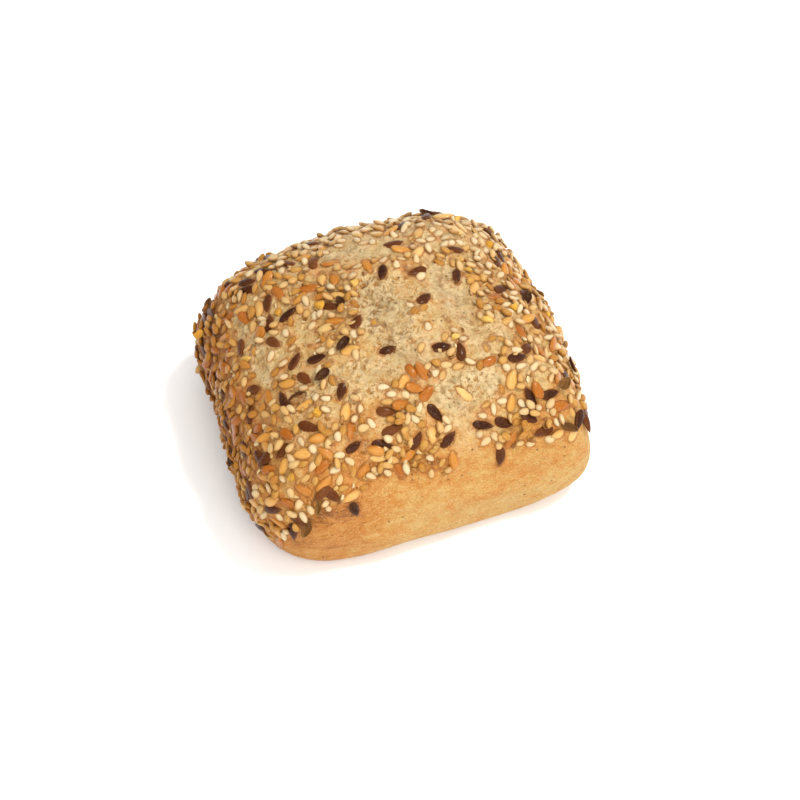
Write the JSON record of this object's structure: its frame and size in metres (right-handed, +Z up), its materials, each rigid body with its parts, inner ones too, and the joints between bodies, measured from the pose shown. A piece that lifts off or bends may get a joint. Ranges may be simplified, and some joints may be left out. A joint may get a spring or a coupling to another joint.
{
  "type": "seeded bread roll",
  "caption": "Square seeded bread roll with a domed crown, a flat base and linseeds baked into the crust, for setting on a plate or in a basket.",
  "frame": {"origin": "middle of the flat base, on the surface the roll stands on", "axes": "+X along the longer side to the right, +Y to the back, +Z up through the crown; the bare side of the crust faces -Y"},
  "size_m": [0.0859, 0.0762, 0.0478],
  "materials": {
    "crust": "matte",
    "brown_linseed": "satin",
    "golden_linseed": "satin",
    "sesame": "satin",
    "maize_grit": "matte"
  },
  "bodies": {
    "root": {"bread_roll": "crust"}
  },
  "joints": []
}
